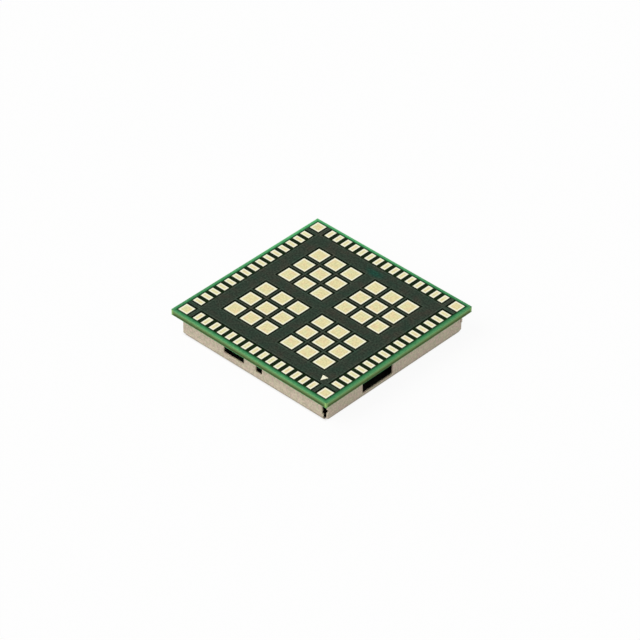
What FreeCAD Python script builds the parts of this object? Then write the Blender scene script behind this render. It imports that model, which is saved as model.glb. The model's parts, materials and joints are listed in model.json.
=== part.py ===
"""A surface-mount radio module: land-grid board face up, folded shield can below.

The frame: +Z up, origin at the middle of the can lid's outer face, which the module lies on.
The pad face looks up, +X is right and -Y is front. All sizes are in millimetres.
"""
import FreeCAD, Part
import Sketcher
import math
import os
import re

# Driving dimensions

SIZES = {
    # Outline and overall height
    "board_x": 13.40,
    "board_y": 13.36,
    "overall_height": 2.0,
    # Board build-up
    "core_thickness": 0.36,
    "copper_thickness": 0.035,
    "plating_thickness": 0.005,
    "mask_cover": 0.020,
    "mask_film": 0.030,
    "mask_gap": 0.025,
    "mask_wrap": 0.020,
    # Lands on the pad face, in rows set in from the board's edges
    "row_inset_x": 0.70,
    "row_inset_y": 0.68,
    "corner_step": 1.10,
    "edge_pad_width": 0.43,
    "edge_pad_length": 0.78,
    "corner_pad": 0.80,
    "ground_gap": 0.35,
    "copper_ring": 0.10,
    "mark_width": 0.46,
    "mark_length": 0.48,
    "mark_clearance": 0.31,
    "mark_ring": 0.06,
    # Shield can, with its walls set in from the board's edges and then shifted a little off centre
    "can_inset_x": 0.47,
    "can_inset_y": 0.45,
    "can_shift": 0.04,
    "can_sheet": 0.10,
    "bend_radius": 0.13,
    "relief_radius": 0.12,
    "front_wall_low_gap": 0.03,
    "front_wall_high_gap": 0.37,
    "side_wall_low_gap": 0.10,
    "side_wall_high_gap": 0.12,
    "toe_reach": 0.08,
    "toe_height": 0.41,
    "notch_radius": 0.13,
    "notch_height": 0.69,
    "ear_reach": 0.065,
    "ear_floor": 0.75,
    "wall_round": 0.75,
    "window_floor": 0.53,
    "wide_window_start": -2.61,
    "wide_window_length": 1.77,
    "slot_window_start": 0.18,
    "slot_window_length": 0.55,
    "side_window_floor": 0.29,
    "side_window_start": -2.98,
    "side_window_length": 2.74,
    "window_corner": 0.12,
    # Solder
    "solder_film": 0.030,
    "can_land_inside": 0.16,
    "can_land_outside": 0.20,
    "can_fillet": 0.10,
    # Radio chip
    "chip_width": 6.0,
    "chip_height": 0.85,
    "chip_corner": 0.75,
    "chip_lead_width": 0.24,
    "chip_lead_length": 0.45,
    "chip_slug": 4.3,
    "lead_thickness": 0.020,
    # Front-end chips
    "front_end_width": 2.4,
    "front_end_height": 0.60,
    "front_end_corner": 0.60,
    "front_end_lead_width": 0.28,
    "front_end_lead_length": 0.40,
    "front_end_slug": 1.10,
    # Crystal
    "crystal_length": 2.5,
    "crystal_width": 2.0,
    "crystal_base_height": 0.35,
    "crystal_cover_height": 0.20,
    "crystal_cover_inset": 0.14,
    "crystal_land_length": 0.75,
    "crystal_land_width": 0.60,
    # Two-ended parts: power inductors, band filters, capacitors and resistors
    "inductor_length": 2.0,
    "inductor_width": 1.6,
    "inductor_height": 1.0,
    "inductor_cap": 0.50,
    "filter_length": 2.0,
    "filter_width": 1.25,
    "filter_height": 0.75,
    "filter_cap": 0.30,
    "capacitor_length": 1.0,
    "capacitor_width": 0.5,
    "capacitor_height": 0.5,
    "capacitor_cap": 0.25,
    "resistor_length": 0.6,
    "resistor_width": 0.3,
    "resistor_height": 0.23,
    "resistor_cap": 0.15,
    "cap_skin": 0.020,
    "land_margin": 0.10,
    "part_clearance": 0.10,
}

# Counts of the land pattern: edge lands in pitches from the middle of a side,
# and ground lands in the same pitches from the middle of the face

EDGE_STEPS = range(-7, 8)
GROUND_STEPS = (1.5, 3.5, 5.5)
GROUND_STRIDE = GROUND_STEPS[1] - GROUND_STEPS[0]

# Leads on each side of a chip package

CHIP_LEADS = 10
FRONT_END_LEADS = 3

# Places of the parts inside the can, in steps of a grid that divides the room between its walls

GRID_STEPS = 240
CHIP_PLACE = (-27, 9)
FRONT_END_PLACES = {"low_band": (85, 21), "high_band": (85, -43)}
CRYSTAL_PLACE = (80, 84)

# Two-ended parts have a third entry, whether the part lies along Y

INDUCTOR_PLACES = [(-90, 98, False), (-33, 98, False)]
FILTER_PLACES = [(35, -97, False), (88, -97, False)]
CAPACITOR_PLACES = [
    (-105, 58, True), (-105, 26, True), (-105, -6, True), (-105, -38, True),
    (-96, -71, False), (-64, -71, False), (-32, -71, False), (0, -71, False),
    (2, 95, True), (23, 95, True), (48, 47, True), (48, -32, True),
]
RESISTOR_PLACES = [
    (48, 15, True), (48, -7, True), (-42, -94, True), (-28, -94, True),
    (-14, -94, True), (0, -94, True), (69, -11, False), (101, -11, False),
]

# Heights of the faces, from the lid's outer face at zero up to the pad face

COPPER_TOP = "(overall_height - mask_cover)"
CORE_TOP = f"({COPPER_TOP} - copper_thickness)"
CORE_BOTTOM = f"({CORE_TOP} - core_thickness)"
LAND_BOTTOM = f"({CORE_BOTTOM} - copper_thickness)"
SEAT = f"({LAND_BOTTOM} - solder_film)"
FIELD_TOP = f"({CORE_TOP} + mask_film)"

# Rows and pitches of the land pattern, and half sizes of the can, each as a pair for X and Y

ROW = ("(board_x / 2 - row_inset_x)", "(board_y / 2 - row_inset_y)")
PITCH = tuple(f"(({row} - corner_step) / {EDGE_STEPS[-1]})" for row in ROW)
CAN_HALF = ("(board_x / 2 - can_inset_x)", "(board_y / 2 - can_inset_y)")
LID_HALF = tuple(f"({half} - bend_radius)" for half in CAN_HALF)
BEND_HALF = tuple(f"({half} - relief_radius)" for half in LID_HALF)
WALL_MIDDLE = tuple(f"({half} - can_sheet / 2)" for half in CAN_HALF)
GRID = tuple(f"(2 * ({half} - can_sheet - part_clearance) / {GRID_STEPS})" for half in CAN_HALF)

TOLERANCE = 1e-6

# The spreadsheet and the expressions that read it

doc = FreeCAD.newDocument("radio_module")
sheet = doc.addObject("Spreadsheet::Sheet", "Sizes")
for row, (alias, size) in enumerate(SIZES.items(), start=1):
    sheet.set(f"A{row}", alias)
    sheet.set(f"B{row}", str(size))
    sheet.setAlias(f"B{row}", alias)
doc.recompute()


def in_sheet(expression):
    """The expression with each size's name pointed at its cell, and functions left as they are."""
    return re.sub(r"\b[a-z][a-z_]*\b(?!\()", lambda word: f"Sizes.{word.group()}", str(expression))


def bind(thing, **expressions):
    """Bind properties of a document object to expressions of the sizes."""
    for name, expression in expressions.items():
        thing.setExpression(name, in_sheet(expression))


def place(thing, path, x, y, z):
    """Bind the base point of a placement to three expressions."""
    for axis, expression in zip("xyz", (x, y, z)):
        thing.setExpression(f".{path}.Base.{axis}", in_sheet(expression))


def box(name, centre, size, bottom, height):
    """An upright box, from the centre and size of its footprint, its bottom and its height."""
    solid = doc.addObject("Part::Box", name)
    bind(solid, Length=size[0], Width=size[1], Height=height)
    place(solid, "Placement", f"{centre[0]} - {size[0]} / 2", f"{centre[1]} - {size[1]} / 2", bottom)
    return solid


def group(name, members):
    """Separate solids kept together as one sub-part."""
    compound = doc.addObject("Part::Compound", name)
    compound.Links = members
    return compound


def cut(name, base, tool):
    """The base without the tool."""
    result = doc.addObject("Part::Cut", name)
    result.Base = base
    result.Tool = tool
    return result


def fuse(name, members):
    """One solid from members that overlap or touch."""
    result = doc.addObject("Part::MultiFuse", name)
    result.Shapes = members
    return result


def spot(step_x, step_y):
    """The place of a grid point inside the can."""
    return f"({step_x} * {GRID[0]})", f"({step_y} * {GRID[1]})"


def doubled(halves, margin="0"):
    """The two full sizes from a pair of half sizes, with a margin added all round."""
    return tuple(f"(2 * {half} + 2 * {margin})" for half in halves)


def turned(size, along_y):
    """A footprint's two sizes, swapped for a piece that lies along Y."""
    return (size[1], size[0]) if along_y else size


def grown(size, margin):
    """A footprint's two sizes with a margin added all round."""
    return tuple(f"({side} + 2 * {margin})" for side in size)


# Sketches and features of a body

def origin_feature(body, role):
    """One of the body's own planes or axes."""
    return next(feature for feature in body.Origin.OriginFeatures if feature.Role == role)


def sketch_on(body, name, plane, offset, turn=0):
    """A sketch on one of the body's own planes, moved to an offset in that plane's directions."""
    sketch = body.newObject("Sketcher::SketchObject", name)
    sketch.AttachmentSupport = [(origin_feature(body, plane), "")]
    sketch.MapMode = "FlatFace"
    sketch.AttachmentOffset = FreeCAD.Placement(
        FreeCAD.Vector(), FreeCAD.Rotation(FreeCAD.Vector(0, 0, 1), turn))
    place(sketch, "AttachmentOffset", *offset)
    return sketch


def dimension(sketch, name, expression, *constraint):
    """Add a driving constraint, name it and bind it to the sizes."""
    index = sketch.addConstraint(Sketcher.Constraint(*constraint))
    sketch.renameConstraint(index, name)
    sketch.setExpression(f"Constraints.{name}", in_sheet(expression))


def polygon(sketch, corners):
    """Closed straight outline through the corners, its first corner on the sketch's origin."""
    points = [FreeCAD.Vector(x, y, 0) for x, y in corners]
    sides = [Part.LineSegment(a, b) for a, b in zip(points, points[1:] + points[:1])]
    sketch.addGeometry(sides, False)
    last = len(sides) - 1
    for side in range(last):
        sketch.addConstraint(Sketcher.Constraint("Coincident", side, 2, side + 1, 1))
    sketch.addConstraint(Sketcher.Constraint("Coincident", last, 2, 0, 1))
    sketch.addConstraint(Sketcher.Constraint("Coincident", 0, 1, -1, 1))


def rectangle(sketch, width, height):
    """A rectangle from the sketch's origin, bound to two expressions."""
    polygon(sketch, [(0, 0), (1, 0), (1, 1), (0, 1)])
    for side in (0, 2):
        sketch.addConstraint(Sketcher.Constraint("Horizontal", side))
    for side in (1, 3):
        sketch.addConstraint(Sketcher.Constraint("Vertical", side))
    dimension(sketch, "width", width, "DistanceX", 0, 1, 0, 2, 1)
    dimension(sketch, "height", height, "DistanceY", 1, 1, 1, 2, 1)


def quarter_ring(sketch, outer, inner):
    """The section of a bend: a quarter ring about the sketch's origin."""
    for radius in (2, 1):
        circle = Part.Circle(FreeCAD.Vector(0, 0, 0), FreeCAD.Vector(0, 0, 1), radius)
        sketch.addGeometry(Part.ArcOfCircle(circle, 0, math.pi / 2), False)
    sketch.addGeometry(Part.LineSegment(FreeCAD.Vector(1, 0, 0), FreeCAD.Vector(2, 0, 0)), False)
    sketch.addGeometry(Part.LineSegment(FreeCAD.Vector(0, 1, 0), FreeCAD.Vector(0, 2, 0)), False)
    for arc in (0, 1):
        sketch.addConstraint(Sketcher.Constraint("Coincident", arc, 3, -1, 1))
    for line, axis, end in ((2, -1, 1), (3, -2, 2)):
        sketch.addConstraint(Sketcher.Constraint("Coincident", line, 1, 1, end))
        sketch.addConstraint(Sketcher.Constraint("Coincident", line, 2, 0, end))
        sketch.addConstraint(Sketcher.Constraint("PointOnObject", line, 1, axis))
        sketch.addConstraint(Sketcher.Constraint("PointOnObject", line, 2, axis))
    dimension(sketch, "outer", outer, "Radius", 0, 2)
    dimension(sketch, "inner", inner, "Radius", 1, 1)


def pad(body, name, sketch, length):
    """A plate or bar raised from a sketch."""
    feature = body.newObject("PartDesign::Pad", name)
    feature.Profile = sketch
    bind(feature, Length=length)
    return feature


def pocket(body, name, sketch, length, reverse=False):
    """A pocket, with a check that it does remove material."""
    before = body.Shape.Volume
    feature = body.newObject("PartDesign::Pocket", name)
    feature.Profile = sketch
    feature.Reversed = reverse
    bind(feature, Length=length)
    doc.recompute()
    if not body.Shape.Volume < before:
        raise RuntimeError(f"{name} cuts nothing")
    return feature


def half_turn(body, name, originals):
    """The features and their copies half a turn about the body's Z axis, as the body's tip."""
    feature = body.newObject("PartDesign::PolarPattern", name)
    feature.Originals = originals
    feature.Axis = (origin_feature(body, "Z_Axis"), [""])
    feature.Angle = 360
    feature.Occurrences = 2
    body.Tip = feature
    doc.recompute()
    return feature


def edges_along(feature, axis, keep):
    """Names of the straight edges along an axis whose middle point passes a test."""
    direction = FreeCAD.Vector(*[float(letter == axis) for letter in "xyz"])
    names = []
    for number, edge in enumerate(feature.Shape.Edges, start=1):
        if isinstance(edge.Curve, Part.Line) and 1 - abs(edge.Curve.Direction.dot(direction)) < TOLERANCE:
            if keep(edge.CenterOfMass):
                names.append(f"Edge{number}")
    return names


def fillet(body, name, base, edges, radius):
    """Rounded edges of a feature."""
    feature = body.newObject("PartDesign::Fillet", name)
    feature.Base = (base, edges)
    bind(feature, Radius=radius)
    doc.recompute()
    return feature


# Board core

def make_core():
    body = doc.addObject("PartDesign::Body", "board_core")
    outline = sketch_on(body, "core_outline", "XY_Plane", ("-board_x / 2", "-board_y / 2", CORE_BOTTOM))
    rectangle(outline, "board_x", "board_y")
    pad(body, "core_plate", outline, "core_thickness")
    return body


# Lands of the pad face

EDGE_PAD = ("edge_pad_width", "edge_pad_length")
GROUND_PAD = tuple(f"({GROUND_STRIDE} * {pitch} - ground_gap)" for pitch in PITCH)


def edge_row_places(side):
    """Centres and footprint of one edge row's lands."""
    along_y = side in ("left", "right")
    sign = -1 if side in ("left", "front") else 1
    offset = f"({sign} * {ROW[0] if along_y else ROW[1]})"
    pitch = PITCH[1] if along_y else PITCH[0]
    places = []
    for step in EDGE_STEPS:
        run = f"({step} * {pitch})"
        places.append((offset, run) if along_y else (run, offset))
    return places, turned(EDGE_PAD, along_y)


def corner_places():
    """Centres of the four corner lands."""
    return [(f"({i} * {ROW[0]})", f"({j} * {ROW[1]})") for i in (-1, 1) for j in (-1, 1)]


def cluster_places(sign_x, sign_y):
    """Centres of a three by three cluster of ground lands."""
    return [
        (f"({sign_x * i} * {PITCH[0]})", f"({sign_y * j} * {PITCH[1]})")
        for j in GROUND_STEPS for i in GROUND_STEPS
    ]


def pad_face_layout():
    """Each group of lands on the pad face, as name: (centres, footprint)."""
    layout = {f"{side}_edge_pads": edge_row_places(side) for side in ("front", "right", "back", "left")}
    layout["corner_pads"] = (corner_places(), ("corner_pad", "corner_pad"))
    for depth, sign_y in (("front", -1), ("back", 1)):
        for side, sign_x in (("left", -1), ("right", 1)):
            name = f"{depth}_{side}_ground_pads"
            layout[name] = (cluster_places(sign_x, sign_y), GROUND_PAD)
    return layout


LAYOUT = pad_face_layout()
PLATED = "(copper_thickness + plating_thickness)"


def boxes(name, places, size, bottom, height):
    """One box per place, all of one footprint."""
    return [
        box(f"{name}_{number}", centre, size, bottom, height)
        for number, centre in enumerate(places, start=1)
    ]


def make_pads():
    """The plated lands, one sub-part per group."""
    return [
        group(name, boxes(f"{name}_land", places, size, CORE_TOP, PLATED))
        for name, (places, size) in LAYOUT.items()
    ]


# The pin-one mark is a plated triangle that points at the first edge land

MARK_X = f"({EDGE_STEPS[-1]} * {PITCH[0]})"
MARK_TIP_Y = f"(edge_pad_length / 2 + mark_clearance - {ROW[1]})"


def mark_prism(name, margin, bottom, height):
    """The mark's triangle with a margin all round, as an upright prism."""
    body = doc.addObject("PartDesign::Body", name)
    tip_drop = f"{margin} * sqrt(1 + (2 * mark_length / mark_width) ^ 2)"
    outline = sketch_on(body, f"{name}_outline", "XY_Plane", (MARK_X, f"{MARK_TIP_Y} - {tip_drop}", bottom))
    polygon(outline, [(0, 0), (1, 2), (-1, 2)])
    outline.addConstraint(Sketcher.Constraint("Symmetric", 1, 1, 1, 2, -2))
    full_length = f"mark_length + {margin} + {tip_drop}"
    dimension(outline, "width", f"({full_length}) * mark_width / mark_length", "DistanceX", 1, 2, 1, 1, 2)
    dimension(outline, "length", full_length, "DistanceY", 0, 1, 0, 2, 2)
    pad(body, f"{name}_prism", outline, height)
    return body


# Ground pour: a plate of copper with a window round each land, and tongues beside the corner lands

POUR_HALF = tuple(f"({row} - edge_pad_length / 2 - copper_ring)" for row in ROW)
TONGUE_END = tuple(f"({row} + edge_pad_length / 2)" for row in ROW)
TONGUE_WIDTH = "(corner_step - corner_pad / 2 - edge_pad_width / 2 - 2 * copper_ring)"
TONGUE_PLACE = tuple(f"({row} - corner_pad / 2 - copper_ring - {TONGUE_WIDTH} / 2)" for row in ROW)


def pour_outline(name, margin, bottom, height):
    """The pour's outline with a margin all round, as a list of boxes that overlap."""
    members = [box(f"{name}_field", ("0", "0"), doubled(POUR_HALF, margin), bottom, height)]
    width = f"({TONGUE_WIDTH} + 2 * {margin})"
    length = doubled(TONGUE_END, margin)
    for number, sign in enumerate((-1, 1), start=1):
        x, y = (f"({sign} * {place})" for place in TONGUE_PLACE)
        members.append(box(f"{name}_tongue_x{number}", (x, "0"), (width, length[1]), bottom, height))
        members.append(box(f"{name}_tongue_y{number}", ("0", y), (length[0], width), bottom, height))
    return members


def ground_windows(name, margin, bottom, height):
    """A box round each ground land, with a margin all round."""
    members = []
    for group_name, (places, size) in LAYOUT.items():
        if "ground" in group_name:
            members += boxes(f"{name}_{group_name}", places, grown(size, margin), bottom, height)
    return members


def make_pour():
    plate = fuse("pour_plate", pour_outline("pour", "0", CORE_TOP, "copper_thickness"))
    windows = ground_windows("pour_window", "copper_ring", CORE_TOP, "copper_thickness")
    windows.append(mark_prism("pour_mark_window", "mark_ring", CORE_TOP, "copper_thickness"))
    return cut("ground_pour", plate, group("pour_windows", windows))


# Pad side mask: a thin film that steps up over the pour, with an opening round each land

def make_pad_side_mask(pour):
    film = box("mask_film_plate", ("0", "0"), ("board_x", "board_y"), CORE_TOP, "mask_film")
    step_height = f"(overall_height - {CORE_TOP})"
    coat = fuse("mask_coat", [film] + pour_outline("mask_step", "mask_wrap", CORE_TOP, step_height))
    hollow = cut("mask_over_pour", coat, pour)
    dip_height = f"(overall_height - {FIELD_TOP})"
    dips = ground_windows("mask_dip", "(copper_ring - mask_wrap)", FIELD_TOP, dip_height)
    dips.append(mark_prism("mask_mark_dip", "(mark_ring - mask_wrap)", FIELD_TOP, dip_height))
    dipped = cut("mask_dipped", hollow, group("mask_dips", dips))
    openings = []
    for name, (places, size) in LAYOUT.items():
        openings += boxes(f"mask_opening_{name}", places, grown(size, "mask_gap"), CORE_TOP, step_height)
    openings.append(mark_prism("mask_mark_opening", "mask_gap", CORE_TOP, step_height))
    return cut("pad_side_mask", dipped, group("mask_openings", openings))


# Shield can: one sheet folded down on four sides, with relieved and open corners

def round_cut(body, name, plane, offset, radius, reverse=False):
    """A round hole through the sheet."""
    outline = sketch_on(body, f"{name}_outline", plane, offset)
    outline.addGeometry(Part.Circle(FreeCAD.Vector(0, 0, 0), FreeCAD.Vector(0, 0, 1), 1), False)
    outline.addConstraint(Sketcher.Constraint("Coincident", 0, 3, -1, 1))
    dimension(outline, "radius", radius, "Radius", 0, 1)
    return pocket(body, name, outline, "can_sheet", reverse)


def relief(body, name, y):
    """A round hole at a corner of the lid, where two bend lines would cross."""
    return round_cut(body, name, "XY_Plane", (LID_HALF[0], y, "0"), "relief_radius", reverse=True)


def bend(body, name, plane, across, reach, turn):
    """A quarter round bend along one side of the lid, between two reliefs."""
    section = sketch_on(body, f"{name}_section", plane, (across, "bend_radius", f"-{reach}"), turn)
    quarter_ring(section, "bend_radius", "bend_radius - can_sheet")
    return pad(body, name, section, f"2 * {reach}")


def plate(body, name, plane, ends, heights, inner_face):
    """A piece of wall between two ends along the can's side and two heights."""
    outline = sketch_on(body, f"{name}_outline", plane, (ends[0], heights[0], inner_face))
    rectangle(outline, f"{ends[1]} - {ends[0]}", f"{heights[1]} - {heights[0]}")
    return pad(body, name, outline, "can_sheet")


def window(body, name, plane, start, length, floor, outer_face):
    """A cut-out in a wall, open towards the board."""
    outline = sketch_on(body, f"{name}_outline", plane, (start, floor, outer_face))
    rectangle(outline, length, f"{SEAT} - {floor}")
    return pocket(body, name, outline, "can_sheet")


# Ends of the front wall and of the right wall, whose half turn gives the back wall and the left wall

FRONT_WALL_START = f"(front_wall_low_gap - {CAN_HALF[0]})"
FRONT_WALL_END = f"({CAN_HALF[0]} - front_wall_high_gap)"
SIDE_WALL_START = f"(side_wall_low_gap - {CAN_HALF[1]})"
SIDE_WALL_END = f"({CAN_HALF[1]} - side_wall_high_gap)"
WALL_HEIGHTS = ("bend_radius", SEAT)


def make_can():
    """The folded can: lid, corner reliefs, bends, walls with their rounded corners, and cut-outs."""
    body = doc.addObject("PartDesign::Body", "shield_can")
    place(body, "Placement", "can_shift", "can_shift", "0")
    lid = sketch_on(body, "lid_outline", "XY_Plane", (f"-{LID_HALF[0]}", f"-{LID_HALF[1]}", "0"))
    rectangle(lid, *doubled(LID_HALF))
    pad(body, "lid", lid, "can_sheet")
    doc.recompute()

    reliefs = [relief(body, "front_relief", f"-{LID_HALF[1]}"), relief(body, "back_relief", LID_HALF[1])]
    half_turn(body, "reliefs", reliefs)

    half_x, half_y = CAN_HALF
    front_face = f"{half_y} - can_sheet"
    side_face = f"{half_x} - can_sheet"
    front_toe = (FRONT_WALL_END, f"({FRONT_WALL_END} + toe_reach)")
    folds = [
        bend(body, "front_bend", "YZ_Plane", f"-{LID_HALF[1]}", BEND_HALF[0], 180),
        bend(body, "side_bend", "XZ_Plane", LID_HALF[0], BEND_HALF[1], -90),
        plate(body, "front_wall", "XZ_Plane", (FRONT_WALL_START, FRONT_WALL_END), WALL_HEIGHTS, front_face),
        plate(body, "front_toe", "XZ_Plane", front_toe, ("bend_radius", "toe_height"), front_face),
        plate(body, "side_wall", "YZ_Plane", (SIDE_WALL_START, SIDE_WALL_END), WALL_HEIGHTS, side_face),
    ]
    half_turn(body, "walls", folds)
    ear_ends = (f"(-{FRONT_WALL_START})", f"(ear_reach - {FRONT_WALL_START})")
    plate(body, "back_ear", "XZ_Plane", ear_ends, ("ear_floor", SEAT), f"-{half_y}")
    doc.recompute()
    notch = round_cut(
        body, "side_notch", "YZ_Plane", (SIDE_WALL_START, "notch_height", half_x), "notch_radius")
    walls = half_turn(body, "notches", [notch])

    bounds = walls.Shape.BoundBox
    free_corners = edges_along(
        walls, "y",
        lambda middle: bounds.ZMax - middle.z < TOLERANCE and middle.x * middle.y < 0
        and abs(middle.y) > bounds.YMax - sheet.can_sheet)
    fillet(body, "wall_rounds", walls, free_corners, "wall_round")

    window(body, "wide_window", "XZ_Plane", "wide_window_start", "wide_window_length", "window_floor", half_y)
    window(body, "slot_window", "XZ_Plane", "slot_window_start", "slot_window_length", "window_floor", half_y)
    last = window(body, "side_window", "YZ_Plane", "side_window_start", "side_window_length",
                  "side_window_floor", half_x)

    front_corners = edges_along(last, "y", lambda middle: abs(middle.z - sheet.window_floor) < TOLERANCE)
    side_corners = edges_along(last, "x", lambda middle: abs(middle.z - sheet.side_window_floor) < TOLERANCE)
    fillet(body, "window_corners", last, front_corners + side_corners, "window_corner")
    return body


# Part side: every component's lands, leads and solder come from one list of footprints

def row_leads(centre, width, corner, count, lead):
    """Footprints of the leads along the four sides of a square chip package."""
    x, y = centre
    reach = f"({width} / 2 - {lead[1]} / 2)"
    pitch = f"(({width} - 2 * {corner}) / {count - 1})"
    footprints = []
    for number in range(count):
        run = f"{number - (count - 1) / 2} * {pitch}"
        for sign in (-1, 1):
            footprints.append(((f"({x} + {run})", f"({y} + {sign} * {reach})"), lead))
            footprints.append(((f"({x} + {sign} * {reach})", f"({y} + {run})"), turned(lead, True)))
    return footprints


def chip_leads():
    """Footprints of the radio chip's leads and the slug between them."""
    centre = spot(*CHIP_PLACE)
    lead = ("chip_lead_width", "chip_lead_length")
    leads = row_leads(centre, "chip_width", "chip_corner", CHIP_LEADS, lead)
    return leads + [(centre, ("chip_slug", "chip_slug"))]


def front_end_leads():
    """Footprints of both front-end chips' leads and slugs."""
    lead = ("front_end_lead_width", "front_end_lead_length")
    leads = []
    for steps in FRONT_END_PLACES.values():
        centre = spot(*steps)
        leads += row_leads(centre, "front_end_width", "front_end_corner", FRONT_END_LEADS, lead)
        leads.append((centre, ("front_end_slug", "front_end_slug")))
    return leads


def crystal_leads():
    """Footprints of the four corner lands of the crystal."""
    x, y = spot(*CRYSTAL_PLACE)
    reach_x = "(crystal_length / 2 - crystal_land_length / 2)"
    reach_y = "(crystal_width / 2 - crystal_land_width / 2)"
    lead = ("crystal_land_length", "crystal_land_width")
    return [
        ((f"({x} + {i} * {reach_x})", f"({y} + {j} * {reach_y})"), lead)
        for i in (-1, 1) for j in (-1, 1)
    ]


TWO_ENDED = {
    "inductor": INDUCTOR_PLACES,
    "filter": FILTER_PLACES,
    "capacitor": CAPACITOR_PLACES,
    "resistor": RESISTOR_PLACES,
}


def end_footprints(kind, step_x, step_y, along_y, extra):
    """Footprints of a two-ended part's two ends, each lengthened outward by extra."""
    x, y = spot(step_x, step_y)
    reach = f"({kind}_length / 2 - {kind}_cap / 2 + {extra} / 2)"
    size = turned((f"({kind}_cap + {extra})", f"{kind}_width"), along_y)
    footprints = []
    for sign in (-1, 1):
        shift = f"{sign} * {reach}"
        centre = (x, f"({y} + {shift})") if along_y else (f"({x} + {shift})", y)
        footprints.append((centre, size))
    return footprints


def component_footprints():
    """Footprints of every lead and end on the part side."""
    footprints = chip_leads() + front_end_leads() + crystal_leads()
    for kind, places in TWO_ENDED.items():
        for place_steps in places:
            footprints += end_footprints(kind, *place_steps, "land_margin")
    return footprints


def footprint_boxes(name, footprints, bottom, height, margin="0"):
    """One box per footprint, with a margin all round."""
    return [
        box(f"{name}_{number}", centre, grown(size, margin), bottom, height)
        for number, (centre, size) in enumerate(footprints, start=1)
    ]


def make_leads(name, footprints):
    """The thin metal leads under a package, against its solder."""
    bottom = f"{SEAT} - lead_thickness"
    return group(name, footprint_boxes(f"{name}_lead", footprints, bottom, "lead_thickness"))


def package(name, steps, width, height):
    """A square moulded package that hangs below its leads."""
    return box(name, spot(*steps), (width, width), f"{SEAT} - {height}", f"{height} - lead_thickness")


def make_chips():
    """The radio chip and the two front-end chips, with their leads."""
    chips = [package("radio_chip", CHIP_PLACE, "chip_width", "chip_height")]
    for band, steps in FRONT_END_PLACES.items():
        chips.append(package(f"{band}_front_end", steps, "front_end_width", "front_end_height"))
    return chips + [
        make_leads("radio_chip_leads", chip_leads()),
        make_leads("front_end_leads", front_end_leads()),
    ]


def make_crystal():
    """A ceramic base with four lands, closed by a thin metal cover."""
    centre = spot(*CRYSTAL_PLACE)
    size = ("crystal_length", "crystal_width")
    base_bottom = f"({SEAT} - lead_thickness - crystal_base_height)"
    base = box("crystal_base", centre, size, base_bottom, "crystal_base_height")
    cover = box("crystal_cover", centre, grown(size, "(-crystal_cover_inset)"),
                f"{base_bottom} - crystal_cover_height", "crystal_cover_height")
    return [base, cover, make_leads("crystal_leads", crystal_leads())]


def make_two_ended(kind, places):
    """Bodies and metal end caps of one kind of two-ended part."""
    blocks = []
    caps = []
    length, width, height = (f"{kind}_{side}" for side in ("length", "width", "height"))
    for number, (step_x, step_y, along_y) in enumerate(places, start=1):
        block_size = turned((f"({length} - 2 * cap_skin)", f"({width} - 2 * cap_skin)"), along_y)
        block = box(f"{kind}_block_{number}", spot(step_x, step_y), block_size,
                    f"{SEAT} - {height} + cap_skin", f"{height} - 2 * cap_skin")
        blocks.append(block)
        footprints = end_footprints(kind, step_x, step_y, along_y, "0")
        ends = footprint_boxes(f"{kind}_end_{number}", footprints, f"{SEAT} - {height}", height)
        caps += [cut(f"{kind}_cap_{number}_{side}", end, block) for side, end in enumerate(ends, start=1)]
    return [group(f"{kind}_bodies", blocks), group(f"{kind}_terminals", caps)]


# Part side copper, mask and solder

CAN_LAND_INNER = tuple(f"({half} - can_sheet - can_land_inside)" for half in CAN_HALF)
CAN_LAND_OUTER = tuple(f"({half} + can_land_outside)" for half in CAN_HALF)


def can_ring(name, margin, bottom, height):
    """The ring of land under the can's walls, widened by a margin both ways."""
    whole = box(f"{name}_outer", ("0", "0"), doubled(CAN_LAND_OUTER, margin), bottom, height)
    hole = box(f"{name}_inner", ("0", "0"), doubled(CAN_LAND_INNER, f"(-{margin})"), bottom, height)
    return cut(name, whole, hole)


def make_part_side_copper():
    """The lands under the components, and the ring under the can."""
    lands = footprint_boxes("component_land", component_footprints(), LAND_BOTTOM, "copper_thickness")
    return [group("component_lands", lands), can_ring("can_land", "0", LAND_BOTTOM, "copper_thickness")]


def make_part_side_mask():
    """The film on the part side, open round every land."""
    bottom = f"({CORE_BOTTOM} - mask_film)"
    film = box("part_mask_film", ("0", "0"), ("board_x", "board_y"), bottom, "mask_film")
    openings = footprint_boxes("part_mask_opening", component_footprints(), bottom, "mask_film", "mask_gap")
    openings.append(can_ring("part_mask_ring", "mask_gap", bottom, "mask_film"))
    return cut("part_side_mask", film, group("part_mask_openings", openings))


def make_component_solder():
    """A film of solder between every component land and its lead or end."""
    films = footprint_boxes("solder_film", component_footprints(), SEAT, "solder_film")
    return group("component_solder", films)


def solder_run(name, along_y, across, start, end):
    """A strip of solder over one stretch of wall edge, narrowing down the wall's two faces."""
    strip = doc.addObject("Part::Wedge", name)
    foot = "(can_sheet / 2 + can_fillet)"
    bind(strip, Xmin="0", X2min="0", Xmax=f"{end} - {start}", X2max=f"{end} - {start}",
         Ymin="0", Ymax="can_fillet + solder_film",
         Zmin="-can_sheet / 2", Zmax="can_sheet / 2", Z2min=f"-{foot}", Z2max=foot)
    upright = FreeCAD.Rotation(FreeCAD.Vector(1, 0, 0), 90)
    turn = FreeCAD.Rotation(FreeCAD.Vector(0, 0, 1), 90 if along_y else 0)
    strip.Placement = FreeCAD.Placement(FreeCAD.Vector(), turn.multiply(upright))
    spot = (across, start) if along_y else (start, across)
    place(strip, "Placement", *spot, f"{SEAT} - can_fillet")
    return strip


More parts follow.
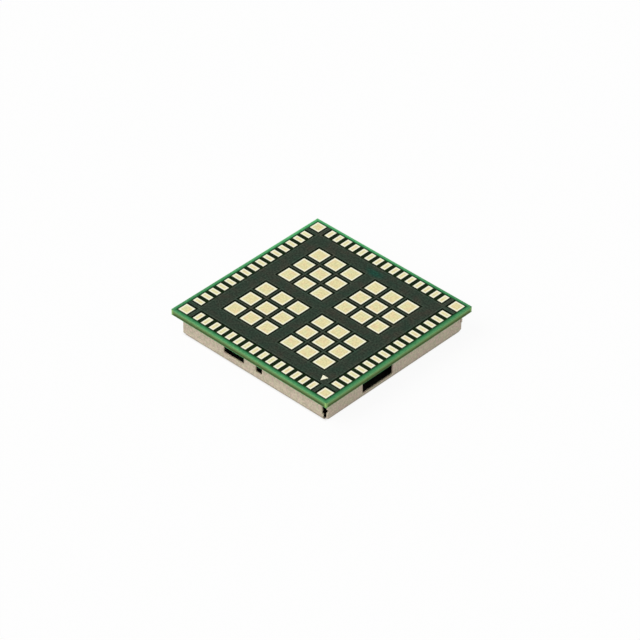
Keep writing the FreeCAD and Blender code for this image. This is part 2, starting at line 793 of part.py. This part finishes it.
def make_can_solder(can):
    """Solder along every stretch of wall edge that meets the board."""
    middle_x, middle_y = WALL_MIDDLE
    front_high = f"({FRONT_WALL_END} - wall_round)"
    wide_end = "(wide_window_start + wide_window_length)"
    slot_end = "(slot_window_start + slot_window_length)"
    side_end = "(side_window_start + side_window_length)"
    runs = [
        (False, f"-{middle_y}", FRONT_WALL_START, "wide_window_start"),
        (False, f"-{middle_y}", wide_end, "slot_window_start"),
        (False, f"-{middle_y}", slot_end, front_high),
        (False, middle_y, f"(-{front_high})", f"(-{FRONT_WALL_START})"),
        (True, middle_x, SIDE_WALL_START, "side_window_start"),
        (True, middle_x, side_end, SIDE_WALL_END),
        (True, f"-{middle_x}", f"(-{SIDE_WALL_END})", f"(-{SIDE_WALL_START})"),
    ]
    strips = [solder_run(f"solder_run_{number}", *run) for number, run in enumerate(runs, start=1)]
    joined = fuse("solder_runs", strips)
    place(joined, "Placement", "can_shift", "can_shift", "0")
    return cut("can_solder", joined, can)


# Build, check and write every sub-part

def make_sub_parts():
    can = make_can()
    pour = make_pour()
    sub_parts = [make_core(), pour, make_pad_side_mask(pour)]
    sub_parts += make_pads()
    sub_parts.append(mark_prism("pin_one_mark", "0", CORE_TOP, PLATED))
    sub_parts += make_part_side_copper()
    sub_parts.append(make_part_side_mask())
    sub_parts.append(make_component_solder())
    sub_parts += [can, make_can_solder(can)]
    sub_parts += make_chips()
    sub_parts += make_crystal()
    for kind, places in TWO_ENDED.items():
        sub_parts += make_two_ended(kind, places)
    return sub_parts


def check(sub_parts):
    """Stop if any object failed, or any sub-part's shape is empty or not valid."""
    for thing in doc.Objects:
        if "Invalid" in thing.State or "Error" in thing.State:
            raise RuntimeError(f"{thing.Label} failed: {thing.State}")
    for thing in sub_parts:
        if thing.Shape.isNull() or not thing.Shape.Solids or not thing.Shape.isValid():
            raise RuntimeError(f"{thing.Label} has no valid shape")


SUB_PARTS = make_sub_parts()
doc.recompute()
check(SUB_PARTS)
os.makedirs("parts", exist_ok=True)
for sub_part in SUB_PARTS:
    sub_part.Shape.exportStep(os.path.join("parts", f"{sub_part.Label}.step"))
    print(f"{sub_part.Label}: {len(sub_part.Shape.Solids)} solids, {sub_part.Shape.Volume:.4f} mm3")
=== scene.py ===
import json
import math

import bpy
from mathutils import Matrix, Vector


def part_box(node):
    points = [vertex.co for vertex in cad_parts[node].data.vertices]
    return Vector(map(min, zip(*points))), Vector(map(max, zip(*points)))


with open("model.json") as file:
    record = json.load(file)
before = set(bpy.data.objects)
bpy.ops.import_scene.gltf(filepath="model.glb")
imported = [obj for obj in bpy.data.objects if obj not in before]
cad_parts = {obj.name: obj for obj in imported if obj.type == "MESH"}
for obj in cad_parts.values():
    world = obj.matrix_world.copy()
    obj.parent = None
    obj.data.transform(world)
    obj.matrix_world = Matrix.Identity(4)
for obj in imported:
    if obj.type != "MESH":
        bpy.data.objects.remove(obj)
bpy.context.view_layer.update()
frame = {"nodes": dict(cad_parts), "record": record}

MM = 0.001
WHITE = (1.0, 1.0, 1.0, 1.0)

# The camera, fitted to the photo: it looks at the middle of the pad face

AZIMUTH = math.radians(43.0704)
ELEVATION = math.radians(38.1153)
ROLL = math.radians(0.6328)
DISTANCE = 229.133 * MM
SHIFT_RIGHT = -0.11075 * MM
SHIFT_UP = -0.77629 * MM
LENS = 204.81
SENSOR = 36.0
NEAREST, FARTHEST = 0.01, 5.0

# Light levels, at which a white diffuse surface that faces up shows about full white

SKY_TOP = 0.52
SKY_RIM = 0.48
KEY_LEVEL = 0.64
KEY_FROM = Vector((-0.44, -0.54, 0.72))
KEY_DISTANCE = 0.3
KEY_SPREAD = math.radians(50)

# The z of a direction above which the sky has its top level

SKY_TOP_FROM = 0.6

# The floor, and how much of it glows: for the camera, and for the light that it sends up

FLOOR_HALF = 600 * MM
FLOOR_DROP = 0.01 * MM
FLOOR_COLOUR = (0.86, 0.86, 0.85, 1.0)
FLOOR_GLOW_SEEN = 0.93
FLOOR_GLOW_GIVEN = 0.32

# The width inside the can's edge over which that glow fades out

FLOOR_GLOW_FADE = 0.4 * MM


def span(name, axis):
    """The middle of a node along an axis, and half its width there, in millimetres."""
    low, high = (corner[axis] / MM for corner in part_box(name))
    return (low + high) / 2, (high - low) / 2


# Places that the finishes follow, in millimetres

PAD_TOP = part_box("corner_pads")[1].z / MM
PAD_ROW_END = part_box("corner_pads")[1].x / MM
MASK_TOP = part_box("pad_side_mask")[1].z / MM
CORE_LOW, CORE_HIGH = (corner.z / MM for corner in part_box("board_core"))
BOARD_HALF = tuple(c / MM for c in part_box("board_core")[1][:2])
CAN_MIDDLE, CAN_HALF = span("shield_can", 1)

# The lands: clusters of three by three, and rows with as many lands on each side of the middle one

GROUND_HALF = 0.525
GROUND_MIDDLE, GROUND_REACH = span("back_right_ground_pads", 0)
GROUND_PITCH = GROUND_REACH - GROUND_HALF
EDGE_HALF_ALONG = 0.215
EDGE_EACH_SIDE = 7
EDGE_ROW, EDGE_HALF_ACROSS = span("back_edge_pads", 1)
EDGE_PITCH = (span("back_edge_pads", 0)[1] - EDGE_HALF_ALONG) / EDGE_EACH_SIDE
CORNER_HALF = PAD_ROW_END - EDGE_ROW

# Bands beside a land's edge: where each change starts and ends, in millimetres outside the edge

# A painted highlight: the lighter rim just inside each land's edge
LAND_HIGHLIGHT_RIM = (-0.15, -0.09)
# Painted shade on each land's outermost edge: where it starts on the land, and where it ends on the film
LAND_EDGE_SHADE = (-0.035, -0.015)
LAND_EDGE_SHADE_END = (0.04, 0.02)
# Painted shade on the film just outside each land
FILM_EDGE_SHADE = (0.15, 0.09)
FILM_RING = (0.10, 0.16)
FILM_RING_END = (0.18, 0.24)

# The film: its step down off the copper, its border, and a teal patch near the back edge row

FILM_STEP = (MASK_TOP - 0.022, MASK_TOP - 0.004)
BORDER_EDGE = (PAD_ROW_END - 0.02, PAD_ROW_END + 0.05)
# Where painted shade darkens the border's right side
BORDER_RIGHT_SHADE = (PAD_ROW_END, PAD_ROW_END + 0.15)
PATCH_MIDDLE = (0.0, 4.9)
PATCH_HALF = (1.0, 0.50)

# The board's sawn edge: its right side, lighter by painted light, and its corners, paler by painted light, as
# a distance from their two faces

SIDE_RIGHT_LIGHT = (BOARD_HALF[0] - 0.05, BOARD_HALF[0] - 0.01)
SIDE_CORNER_LIGHT = (-0.22, -0.02)

# The can: painted shade at its bend, by height and by depth in the sheet, and painted shade inside it, by
# depth and by height

BEND_SHADE_HEIGHT = (0.22, 0.12)
BEND_SHADE_DEPTH = (0.13, 0.09)
INSIDE_SHADE_DEPTH = (0.088, 0.098)
INSIDE_SHADE_HEIGHT = (0.05, 0.09)

# Rounded edges: their widths, and the corner radii of lands seen from above, in millimetres

PAD_ROUNDING = 0.012
BOARD_ROUNDING = 0.02
CAN_ROUNDING = 0.015
GROUND_CORNER = 0.04
EDGE_CORNER = 0.06
ROUNDING_SEGMENTS = 2
CORNER_SEGMENTS = 4
ROUNDED_FROM = math.radians(35)

# Points nearer to each other than this are joined, and an edge that runs less than this across is upright

JOINED_BELOW = 0.0005
UPRIGHT_BELOW = 0.001

# The middle part of a noise, which a speckle spreads out, and the z of a normal from upright to level

NOISE_MIDDLE = (0.30, 0.70)
NORMAL_RISE = (0.5, 0.9)


def srgb(red, green, blue):
    """A colour read as 0 to 255, as the linear colour that shaders take."""
    shares = (red / 255, green / 255, blue / 255)
    linear = [c / 12.92 if c <= 0.04045 else ((c + 0.055) / 1.055) ** 2.4 for c in shares]
    return (*linear, 1.0)


class Nodes:
    """Short calls for the shader nodes of one tree. They take constants or other nodes' outputs."""

    def __init__(self, tree):
        self.tree = tree

    def add(self, kind):
        return self.tree.nodes.new("ShaderNode" + kind)

    def feed(self, target, value):
        """Set an input to a constant, or link it to another node's output."""
        if isinstance(value, bpy.types.NodeSocket):
            self.tree.links.new(value, target)
        else:
            target.default_value = value

    def axes(self, vector):
        """The x, y and z of a vector."""
        node = self.add("SeparateXYZ")
        self.feed(node.inputs[0], vector)
        return node.outputs

    def calc(self, operation, *values):
        node = self.add("Math")
        node.operation = operation
        for target, value in zip(node.inputs, values):
            self.feed(target, value)
        return node.outputs[0]

    def larger_size(self, first, second):
        """The larger of two numbers, without their signs."""
        return self.calc("MAXIMUM", self.calc("ABSOLUTE", first), self.calc("ABSOLUTE", second))

    def spread(self, value, low, high, start=0.0, end=1.0):
        """A value from start to end, taken evenly to low to high."""
        node = self.add("MapRange")
        for socket, number in (
                ("Value", value), ("From Min", start), ("From Max", end), ("To Min", low), ("To Max", high)):
            self.feed(node.inputs[socket], number)
        return node.outputs["Result"]

    def shows_background(self):
        """1 for rays that show the background itself: from the camera, in a gloss or through glass."""
        rays = self.add("LightPath").outputs
        plain = self.calc("MAXIMUM", rays["Is Camera Ray"], rays["Is Glossy Ray"])
        return self.calc("MAXIMUM", plain, rays["Is Transmission Ray"])


class Finish(Nodes):
    """A material with one principled shader, and the patterns that feed it."""

    def __init__(self, name, base, roughness, metallic=0.0, specular=0.5):
        self.material = bpy.data.materials.new(name)
        self.material.use_nodes = True
        super().__init__(self.material.node_tree)
        self.shader = self.tree.nodes["Principled BSDF"]
        self.set("Base Color", base)
        self.set("Roughness", roughness)
        self.set("Metallic", metallic)
        self.set("Specular IOR Level", specular)
        self.place = self.scaled(self.add("TexCoord").outputs["Object"], (1 / MM,) * 3)

    def set(self, socket, value):
        self.feed(self.shader.inputs[socket], value)

    def scaled(self, vector, scale):
        node = self.add("Mapping")
        self.feed(node.inputs["Vector"], vector)
        self.feed(node.inputs["Scale"], scale)
        return node.outputs["Vector"]

    def step(self, value, low, high):
        """0 at low, 1 at high, smooth between."""
        node = self.add("MapRange")
        node.interpolation_type = "SMOOTHSTEP"
        for socket, number in (("Value", value), ("From Min", low), ("From Max", high)):
            self.feed(node.inputs[socket], number)
        return node.outputs["Result"]

    def noise(self, scale, detail=2.0, stretch=(1, 1, 1)):
        """Noise with features of about 1 / scale millimetres."""
        node = self.add("TexNoise")
        for socket, value in (
                ("Vector", self.scaled(self.place, stretch)), ("Scale", scale), ("Detail", detail)):
            self.feed(node.inputs[socket], value)
        return node.outputs["Fac"]

    def speckle(self, scale, stretch=(1, 1, 1)):
        """Noise spread over the whole range from 0 to 1."""
        return self.step(self.noise(scale, 3.0, stretch), *NOISE_MIDDLE)

    def ramp(self, factor, *stops):
        """A colour ramp through (position, colour) stops."""
        node = self.add("ValToRGB")
        self.feed(node.inputs["Fac"], factor)
        elements = node.color_ramp.elements
        while len(elements) < len(stops):
            elements.new(0.5)
        for element, (position, colour) in zip(elements, stops):
            element.position = position
            element.color = colour
        return node.outputs["Color"]

    def mix(self, factor, first, second):
        """The first colour where the factor is 0, the second where it is 1."""
        node = self.add("Mix")
        node.data_type = "RGBA"
        for index, value in ((0, factor), (6, first), (7, second)):
            self.feed(node.inputs[index], value)
        return node.outputs[2]

    def vary(self, colour, factor, low, high):
        """A colour made darker or lighter, from low to high, by a factor of 0 to 1."""
        node = self.add("VectorMath")
        node.operation = "SCALE"
        self.feed(node.inputs[0], colour if isinstance(colour, bpy.types.NodeSocket) else colour[:3])
        self.feed(node.inputs["Scale"], self.spread(factor, low, high))
        return node.outputs[0]

    def facing_up(self):
        """0 on upright faces, 1 on faces that look up."""
        return self.step(self.axes(self.add("NewGeometry").outputs["True Normal"])[2], *NORMAL_RISE)

    def bump(self, height, depth):
        """Relief of a depth in millimetres from a height of 0 to 1."""
        node = self.add("Bump")
        self.feed(node.inputs["Strength"], 1.0)
        self.feed(node.inputs["Distance"], depth * MM)
        self.feed(node.inputs["Height"], height)
        self.set("Normal", node.outputs["Normal"])

    def patch_distance(self, x, y):
        """0 in the middle of the teal patch on the film, 1 at its edge."""
        squares = [
            self.calc("POWER", self.calc("DIVIDE", self.calc("SUBTRACT", place, middle), half), 2.0)
            for place, middle, half in zip((x, y), PATCH_MIDDLE, PATCH_HALF)]
        return self.calc("SQRT", self.calc("ADD", *squares))

    def off_row(self, place, middle, pitch=1.0, each_side=0):
        """How far a place is from the nearest of the points that a pitch spaces round a middle."""
        turn = self.calc("ROUND", self.calc("DIVIDE", self.calc("SUBTRACT", place, middle), pitch))
        turn = self.calc("MINIMUM", self.calc("MAXIMUM", turn, -each_side), each_side)
        nearest = self.calc("MULTIPLY_ADD", turn, pitch, middle)
        return self.calc("ABSOLUTE", self.calc("SUBTRACT", place, nearest))

    def land_distance(self, x, y):
        """How far a place is outside the nearest land, in millimetres, and below 0 on a land.

        All four sides are alike, so the place is turned and mirrored into one eighth of the face.
        """
        reach = [self.calc("ABSOLUTE", place) for place in (x, y)]
        along, across = self.calc("MINIMUM", *reach), self.calc("MAXIMUM", *reach)
        ground = self.calc(
            "MAXIMUM", *[self.off_row(place, GROUND_MIDDLE, GROUND_PITCH, 1) for place in reach])
        corner = self.calc("MAXIMUM", self.off_row(along, EDGE_ROW), self.off_row(across, EDGE_ROW))
        edge_along = self.off_row(along, 0.0, EDGE_PITCH, EDGE_EACH_SIDE)
        edge_across = self.off_row(across, EDGE_ROW)
        edge = self.calc(
            "MAXIMUM",
            self.calc("SUBTRACT", edge_along, EDGE_HALF_ALONG),
            self.calc("SUBTRACT", edge_across, EDGE_HALF_ACROSS))
        wide = self.calc(
            "MINIMUM", self.calc("SUBTRACT", ground, GROUND_HALF), self.calc("SUBTRACT", corner, CORNER_HALF))
        return self.calc("MINIMUM", wide, edge)


def solder_mask(name):
    """Green film: near black over bare core, grey over copper, bright at the copper-free border, with painted
    shade just outside the lands and painted light and shade on the border.
    """
    finish = Finish(name, srgb(40, 60, 40), 0.50, specular=0.04)
    x, y, z = finish.axes(finish.place)
    tint = finish.noise(1.3)
    over_copper = finish.ramp(
        tint, (0.30, srgb(41, 58, 46)), (0.52, srgb(48, 58, 47)), (0.72, srgb(56, 57, 47)))
    patch = finish.step(finish.patch_distance(x, y), 1.0, 0.2)
    over_copper = finish.mix(patch, over_copper, srgb(26, 66, 53))
    from_land = finish.land_distance(x, y)
    over_copper = finish.vary(over_copper, finish.step(from_land, *FILM_RING), 1.0, 1.55)
    over_copper = finish.vary(over_copper, finish.step(from_land, *FILM_RING_END), 1.0, 0.65)
    # Painted shade: the film darkened in a band just outside each land
    over_copper = finish.vary(over_copper, finish.step(from_land, *FILM_EDGE_SHADE), 1.0, 0.05)
    over_core = finish.ramp(tint, (0.35, srgb(6, 26, 2)), (0.65, srgb(12, 30, 2)))
    film = finish.mix(finish.step(z, *FILM_STEP), over_core, over_copper)
    film = finish.vary(film, finish.speckle(8.0), 0.60, 1.38)

    # The ramp's stops are millimetres outside the edge rows, and depth is 1 at the back left corner

    reach = finish.larger_size(x, y)
    border = finish.ramp(
        finish.calc("SUBTRACT", reach, PAD_ROW_END),
        (0.02, srgb(10, 62, 26)), (0.08, srgb(32, 96, 54)), (0.14, srgb(62, 132, 84)),
        (0.22, srgb(76, 146, 94)), (0.29, srgb(90, 158, 102)))
    depth = finish.calc("MULTIPLY", finish.calc("SUBTRACT", y, x), 0.5 / PAD_ROW_END)
    # Painted light: the border lighter towards the back left
    border = finish.vary(border, finish.step(depth, 0.0, 0.9), 1.0, 1.5)
    # Painted shade: the border darker on its right side
    border = finish.vary(border, finish.step(x, *BORDER_RIGHT_SHADE), 1.0, 0.88)
    border = finish.vary(border, finish.speckle(6.0), 0.84, 1.16)
    finish.set("Base Color", finish.mix(finish.step(reach, *BORDER_EDGE), film, border))
    finish.bump(finish.noise(14.0), 0.004)
    return finish.material


def laminate(name):
    """Sawn board edge: green at the top, olive below, with painted light on the right side and at the pale
    corners, and fine glass streaks.
    """
    finish = Finish(name, srgb(100, 150, 100), 0.65, specular=0.15)
    x, y, z = finish.axes(finish.place)
    height = finish.calc("DIVIDE", finish.calc("SUBTRACT", z, CORE_LOW), CORE_HIGH - CORE_LOW)
    colour = finish.ramp(
        height,
        (0.03, srgb(62, 72, 32)), (0.20, srgb(70, 82, 38)), (0.36, srgb(72, 94, 46)),
        (0.50, srgb(94, 124, 72)), (0.70, srgb(100, 138, 82)), (0.95, srgb(106, 162, 102)))
    # Painted light: the right side of the edge lighter
    colour = finish.vary(colour, finish.step(x, *SIDE_RIGHT_LIGHT), 1.0, 1.35)
    colour = finish.vary(colour, finish.speckle(3.0, (1.2, 1.2, 16.0)), 0.80, 1.20)
    # Painted light: the corners paler, where light shows through the laminate
    corner = finish.calc(
        "MINIMUM",
        *[finish.calc("SUBTRACT", finish.calc("ABSOLUTE", place), half)
          for place, half in zip((x, y), BOARD_HALF)])
    colour = finish.mix(finish.step(corner, *SIDE_CORNER_LIGHT), colour, srgb(150, 190, 110))
    finish.set("Base Color", colour)
    finish.bump(finish.noise(12.0, 3.0, (1, 1, 4)), 0.010)
    return finish.material


def plated_lands(name):
    """Matte pale gold on copper, a little uneven, with a painted highlight on the rim and painted shade on
    the edge.
    """
    finish = Finish(name, srgb(226, 214, 166), 0.80, metallic=0.08, specular=0.10)
    from_edge = finish.land_distance(*finish.axes(finish.place)[:2])
    tone = finish.ramp(
        finish.noise(2.6, 3.0),
        (0.32, srgb(234, 213, 167)), (0.50, srgb(229, 220, 167)), (0.68, srgb(224, 222, 173)))
    tone = finish.vary(tone, finish.speckle(8.0), 0.88, 1.10)
    # Painted highlight: a lighter rim just inside the land's edge
    tone = finish.mix(finish.step(from_edge, *LAND_HIGHLIGHT_RIM), tone, srgb(248, 246, 219))
    # Painted shade: the land's outermost edge darkened, beside the film
    edge = finish.calc(
        "MINIMUM", finish.step(from_edge, *LAND_EDGE_SHADE), finish.step(from_edge, *LAND_EDGE_SHADE_END))
    finish.set("Base Color", finish.vary(tone, edge, 1.0, 0.12))
    finish.bump(finish.noise(22.0, 3.0), 0.004)
    return finish.material


def can_sheet(name):
    """Plated steel sheet, warm grey with a fine speckled grain, with painted shade at its bend and inside,
    and painted light on faces that look up.
    """
    finish = Finish(name, srgb(190, 178, 158), 0.50, metallic=0.18, specular=0.25)
    x, y, z = finish.axes(finish.place)
    reach = finish.larger_size(*[finish.calc("SUBTRACT", place, CAN_MIDDLE) for place in (x, y)])
    depth = finish.calc("SUBTRACT", CAN_HALF, reach)
    grain = finish.speckle(8.0)
    tone = finish.ramp(
        finish.speckle(5.0),
        (0.0, srgb(198, 178, 162)), (0.5, srgb(195, 182, 160)), (1.0, srgb(188, 183, 155)))
    tone = finish.vary(tone, grain, 0.84, 1.14)
    # Painted shade: the sheet darker low down, at its bend
    bend = finish.calc("MINIMUM", finish.step(z, *BEND_SHADE_HEIGHT), finish.step(depth, *BEND_SHADE_DEPTH))
    tone = finish.vary(tone, bend, 1.0, 0.70)
    # Painted light: faces that look up, such as the window sills, lighter
    tone = finish.vary(tone, finish.facing_up(), 1.0, 1.25)
    # Painted shade: the can's inside faces near black
    inside = finish.calc(
        "MINIMUM", finish.step(depth, *INSIDE_SHADE_DEPTH), finish.step(z, *INSIDE_SHADE_HEIGHT))
    finish.set("Base Color", finish.mix(inside, tone, srgb(30, 29, 27)))
    finish.bump(grain, 0.004)
    return finish.material


def solder(name):
    """Satin solder, softly uneven."""
    colour = srgb(186, 184, 178)
    finish = Finish(name, colour, 0.32, metallic=0.9)
    finish.set("Base Color", finish.vary(colour, finish.noise(12.0, 3.0), 0.85, 1.10))
    finish.bump(finish.noise(10.0, 3.0), 0.012)
    return finish.material


def plain_metal(name, colour, roughness):
    """Tin, copper or cover metal, with a fine uneven grain."""
    finish = Finish(name, colour, roughness, metallic=0.85)
    finish.set("Base Color", finish.vary(colour, finish.noise(10.0, 3.0), 0.88, 1.10))
    finish.bump(finish.noise(20.0), 0.004)
    return finish.material


def fired(name, colour, speckle):
    """Ceramic, ferrite or moulding compound, with a fine speckle."""
    finish = Finish(name, colour, 0.60, specular=0.35)
    finish.set("Base Color", finish.vary(colour, finish.noise(24.0, 4.0), 1 - speckle, 1 + speckle))
    finish.bump(finish.noise(30.0), 0.005)
    return finish.material


FINISHES = {
    "laminate": laminate("laminate"),
    "solder_mask": solder_mask("solder_mask"),
    "plated_lands": plated_lands("plated_lands"),
    "copper": plain_metal("copper", srgb(196, 122, 84), 0.40),
    "can_sheet": can_sheet("can_sheet"),
    "solder": solder("solder"),
    "terminal_metal": plain_metal("terminal_metal", srgb(196, 194, 188), 0.38),
    "cover_metal": plain_metal("cover_metal", srgb(202, 194, 174), 0.30),
    "moulding": fired("moulding", srgb(44, 44, 46), 0.20),
    "pale_ceramic": fired("pale_ceramic", srgb(206, 202, 192), 0.06),
    "tan_ceramic": fired("tan_ceramic", srgb(152, 118, 86), 0.10),
    "dark_ferrite": fired("dark_ferrite", srgb(72, 72, 74), 0.15),
}


def soften(node, width, corner_radius=0.0):
    """Round a node's upright edges by a radius, if one is given, and then all its edges by a width."""
    weld = node.modifiers.new("join_faces", "WELD")
    weld.merge_threshold = JOINED_BELOW * MM
    if corner_radius:
        mesh = node.data
        weights = mesh.attributes.new("bevel_weight_edge", "FLOAT", "EDGE")
        for edge in mesh.edges:
            run = mesh.vertices[edge.vertices[1]].co - mesh.vertices[edge.vertices[0]].co
            weights.data[edge.index].value = float(run.to_2d().length < UPRIGHT_BELOW * MM)
        corners = node.modifiers.new("round_corners", "BEVEL")
        corners.width = corner_radius * MM
        corners.segments = CORNER_SEGMENTS
        corners.limit_method = "WEIGHT"
    edges = node.modifiers.new("round_edges", "BEVEL")
    edges.width = width * MM
    edges.segments = ROUNDING_SEGMENTS
    edges.limit_method = "ANGLE"
    edges.angle_limit = ROUNDED_FROM


def dress_nodes():
    """Give every CAD node its finish and, where they show, softly rounded edges."""
    slots = {part["node"]: part["material_slot"] for part in frame["record"]["subparts"]}
    for name, node in frame["nodes"].items():
        node.data.materials.clear()
        node.data.materials.append(FINISHES[slots[name]])
        if name.endswith("pads"):
            soften(node, PAD_ROUNDING, GROUND_CORNER if "ground" in name else EDGE_CORNER)
    soften(frame["nodes"]["pin_one_mark"], PAD_ROUNDING)
    soften(frame["nodes"]["board_core"], BOARD_ROUNDING)
    soften(frame["nodes"]["shield_can"], CAN_ROUNDING)


def floor_material():
    """White floor that partly glows, evenly to the eye, but not where the can stands on it."""
    material = bpy.data.materials.new("floor")
    material.use_nodes = True
    material.node_tree.nodes.clear()
    nodes = Nodes(material.node_tree)
    diffuse = nodes.add("BsdfDiffuse")
    nodes.feed(diffuse.inputs["Color"], FLOOR_COLOUR)
    glow = nodes.add("Emission")
    nodes.feed(glow.inputs["Color"], WHITE)
    nodes.feed(glow.inputs["Strength"], 1.0)

    x, y = nodes.axes(nodes.add("TexCoord").outputs["Object"])[:2]
    can_edge = (CAN_MIDDLE + CAN_HALF) * MM
    clear_of_can = nodes.spread(nodes.larger_size(x, y), 0.0, 1.0, can_edge - FLOOR_GLOW_FADE, can_edge)
    share = nodes.spread(nodes.shows_background(), FLOOR_GLOW_GIVEN, FLOOR_GLOW_SEEN)

    mix = nodes.add("MixShader")
    output = nodes.add("OutputMaterial")
    nodes.feed(mix.inputs["Fac"], nodes.calc("MULTIPLY", share, clear_of_can))
    nodes.feed(mix.inputs[1], diffuse.outputs[0])
    nodes.feed(mix.inputs[2], glow.outputs[0])
    nodes.feed(output.inputs["Surface"], mix.outputs[0])
    return material


def make_floor():
    """A plain floor a hair below the lid, so that the two faces don't coincide."""
    mesh = bpy.data.meshes.new("floor")
    signs = ((-1, -1), (1, -1), (1, 1), (-1, 1))
    corners = [(x * FLOOR_HALF, y * FLOOR_HALF, -FLOOR_DROP) for x, y in signs]
    mesh.from_pydata(corners, [], [(0, 1, 2, 3)])
    mesh.materials.append(floor_material())
    floor = bpy.data.objects.new("floor", mesh)
    bpy.context.scene.collection.objects.link(floor)


def make_light():
    """A white sky, a little brighter overhead, and a broad key light from the front left."""
    world = bpy.data.worlds.new("studio")
    bpy.context.scene.world = world
    world.use_nodes = True
    nodes = Nodes(world.node_tree)
    background = nodes.tree.nodes["Background"]
    height = nodes.axes(nodes.add("TexCoord").outputs["Generated"])[2]
    sky = nodes.spread(height, SKY_RIM, SKY_TOP, 0.0, SKY_TOP_FROM)
    nodes.feed(background.inputs["Color"], WHITE)
    nodes.feed(background.inputs["Strength"], nodes.spread(nodes.shows_background(), sky, 1.0))

    key = bpy.data.lights.new("key", "SUN")
    key.energy = KEY_LEVEL * math.pi
    key.angle = KEY_SPREAD
    lamp = bpy.data.objects.new("key", key)
    lamp.rotation_mode = "QUATERNION"
    lamp.rotation_quaternion = KEY_FROM.to_track_quat("Z", "Y")
    lamp.location = KEY_FROM * KEY_DISTANCE
    bpy.context.scene.collection.objects.link(lamp)


def make_camera():
    """The photo's camera, placed by its direction, roll and distance from the pad face's middle."""
    data = bpy.data.cameras.new("camera")
    data.sensor_width = SENSOR
    data.lens = LENS
    data.clip_start = NEAREST
    data.clip_end = FARTHEST
    camera = bpy.data.objects.new("camera", data)
    bpy.context.scene.collection.objects.link(camera)
    back = Vector((
        math.sin(AZIMUTH) * math.cos(ELEVATION),
        -math.cos(AZIMUTH) * math.cos(ELEVATION),
        math.sin(ELEVATION)))
    level_right = Vector((0, 0, 1)).cross(back).normalized()
    level_up = back.cross(level_right)
    right = level_right * math.cos(ROLL) + level_up * math.sin(ROLL)
    up = level_up * math.cos(ROLL) - level_right * math.sin(ROLL)
    target = Vector((0, 0, PAD_TOP * MM))
    place = target + back * DISTANCE + right * SHIFT_RIGHT + up * SHIFT_UP
    camera.matrix_world = Matrix.Translation(place) @ Matrix((right, up, back)).transposed().to_4x4()
    bpy.context.scene.camera = camera


dress_nodes()
make_floor()
make_light()
make_camera()
bpy.context.scene.view_settings.view_transform = "Standard"
